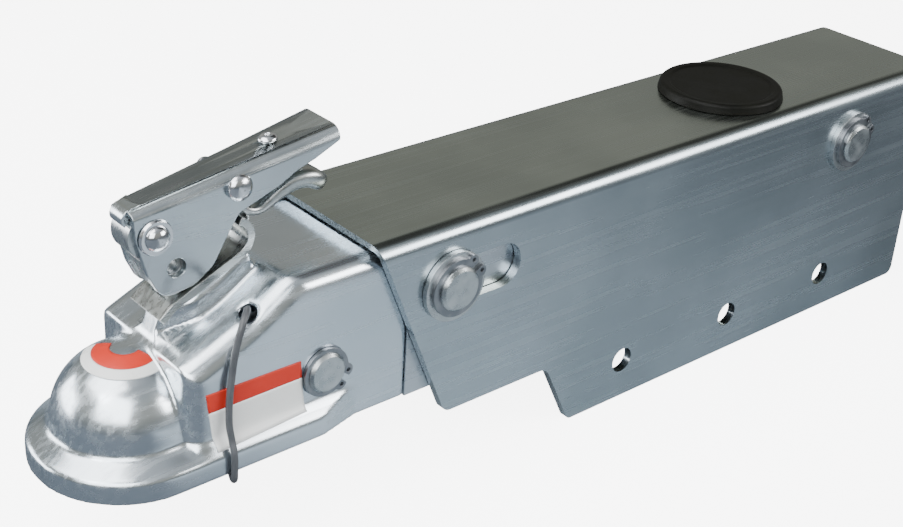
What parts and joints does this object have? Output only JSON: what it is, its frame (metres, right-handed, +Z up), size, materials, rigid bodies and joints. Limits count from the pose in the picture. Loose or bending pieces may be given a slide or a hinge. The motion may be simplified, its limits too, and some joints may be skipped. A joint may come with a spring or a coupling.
{
  "type": "surge brake actuator",
  "caption": "Hydraulic surge brake actuator for a trailer tongue: a folded steel case with a sliding lever-latch ball coupler that works a master cylinder.",
  "frame": {"origin": "Mid-width point of the middle tongue bolt's axis in the outer case", "axes": "+X points back towards the trailer, +Z up, and the tow ball's end is -X"},
  "size_m": [0.576, 0.104, 0.191],
  "materials": {
    "case_zinc": "folded plate with a bright zinc plating, slightly mottled",
    "slide_zinc": "zinc plating, rubbed along the slide",
    "head_zinc": "zinc-plated drawn steel, bluish silver",
    "handle_zinc": "zinc-plated folded steel",
    "keeper_zinc": "zinc plating with an olive-grey cast",
    "hardware_zinc": "zinc-plated hardware",
    "pin_steel": "turned steel pin, zinc-plated",
    "bright_steel": "bright pressed steel",
    "rod_steel": "ground steel rod",
    "spring_steel": "dark spring steel",
    "raw_steel": "zinc-plated plate, dull inside the case",
    "cylinder_iron": "cast iron with a dark coating",
    "clamp_iron": "forged clamp, zinc-plated and greasy",
    "piston_aluminium": "turned aluminium",
    "fitting_brass": "turned brass",
    "damper_paint": "black enamel",
    "black_rubber": "moulded black rubber",
    "black_plastic": "moulded black plastic",
    "cable_jacket": "black plastic jacket over steel cable"
  },
  "bodies": {
    "case": {"outer_case": "case_zinc", "case_near_side": "case_zinc", "case_far_side": "case_zinc", "inner_bracket": "raw_steel", "master_cylinder": "cylinder_iron", "cylinder_screws": "hardware_zinc", "outlet_fitting": "fitting_brass", "stop_ring": "spring_steel", "damper_body": "damper_paint", "damper_pin": "pin_steel", "rear_pin": "pin_steel", "rear_washers": "hardware_zinc", "rear_rings": "spring_steel"},
    "slide": {"slide_channel": "slide_zinc", "coupler_head": "head_zinc", "front_pin": "pin_steel", "front_washers": "hardware_zinc", "front_rings": "spring_steel", "cross_pin": "pin_steel", "cross_rings": "spring_steel", "push_rod": "rod_steel", "piston": "piston_aluminium", "piston_cup": "black_rubber", "return_spring": "spring_steel", "damper_rod": "rod_steel", "latch_keeper": "keeper_zinc", "spring_seat": "hardware_zinc", "latch_spring": "spring_steel", "breakaway_cable": "cable_jacket", "cable_coil": "cable_jacket", "cable_hook": "bright_steel"},
    "latch": {"latch_bolt": "hardware_zinc", "latch_eye": "hardware_zinc", "ball_clamp": "clamp_iron", "clamp_nut": "hardware_zinc"},
    "handle": {"latch_handle": "handle_zinc", "handle_rivet": "bright_steel", "handle_stud": "bright_steel", "trigger_rivet": "bright_steel", "trigger_spring": "spring_steel"},
    "trigger": {"trigger": "keeper_zinc"},
    "lever": {"breakaway_lever": "keeper_zinc"},
    "access_cap": {"access_cap": "black_rubber"},
    "reservoir_cap": {"reservoir_cap": "black_plastic"}
  },
  "joints": [
    {"name": "surge_slide", "type": "slide", "parent": "case", "child": "slide", "axis": [1, 0, 0], "range_m": [0, 0.032], "stiffness_N_per_m": 600, "springref_m": -0.02, "deforming": ["return_spring"]},
    {"name": "handle_lift", "type": "hinge", "parent": "latch", "child": "handle", "pos_m": [-0.3526, 0, 0.137], "axis": [0, -1, 0], "range_deg": [0, 75]},
    {"name": "latch_drop", "type": "slide", "parent": "slide", "child": "latch", "axis": [0.4067, 0, -0.9135], "range_m": [0, 0.007], "deforming": ["latch_spring"]},
    {"name": "trigger_squeeze", "type": "hinge", "parent": "handle", "child": "trigger", "pos_m": [-0.313, 0, 0.151], "axis": [0, -1, 0], "range_deg": [0, 14], "stiffness_Nm_per_rad": 0.15, "springref_deg": -17.19},
    {"name": "lever_pull", "type": "hinge", "parent": "slide", "child": "lever", "pos_m": [-0.285, -0.00925, 0.062], "axis": [0, -1, 0], "range_deg": [0, 25], "deforming": ["breakaway_cable"]},
    {"name": "cap_lift", "type": "slide", "parent": "case", "child": "access_cap", "axis": [0, 0, 1], "range_m": [0, 0.03]},
    {"name": "filler_turn", "type": "hinge", "parent": "case", "child": "reservoir_cap", "pos_m": [0.021, 0, 0.106], "axis": [0, 0, 1], "range_deg": [0, 90]}
  ],
  "couplings": [
    {"joint": "latch_drop", "follows": "handle_lift", "m_per_rad": 0.0053475}
  ]
}
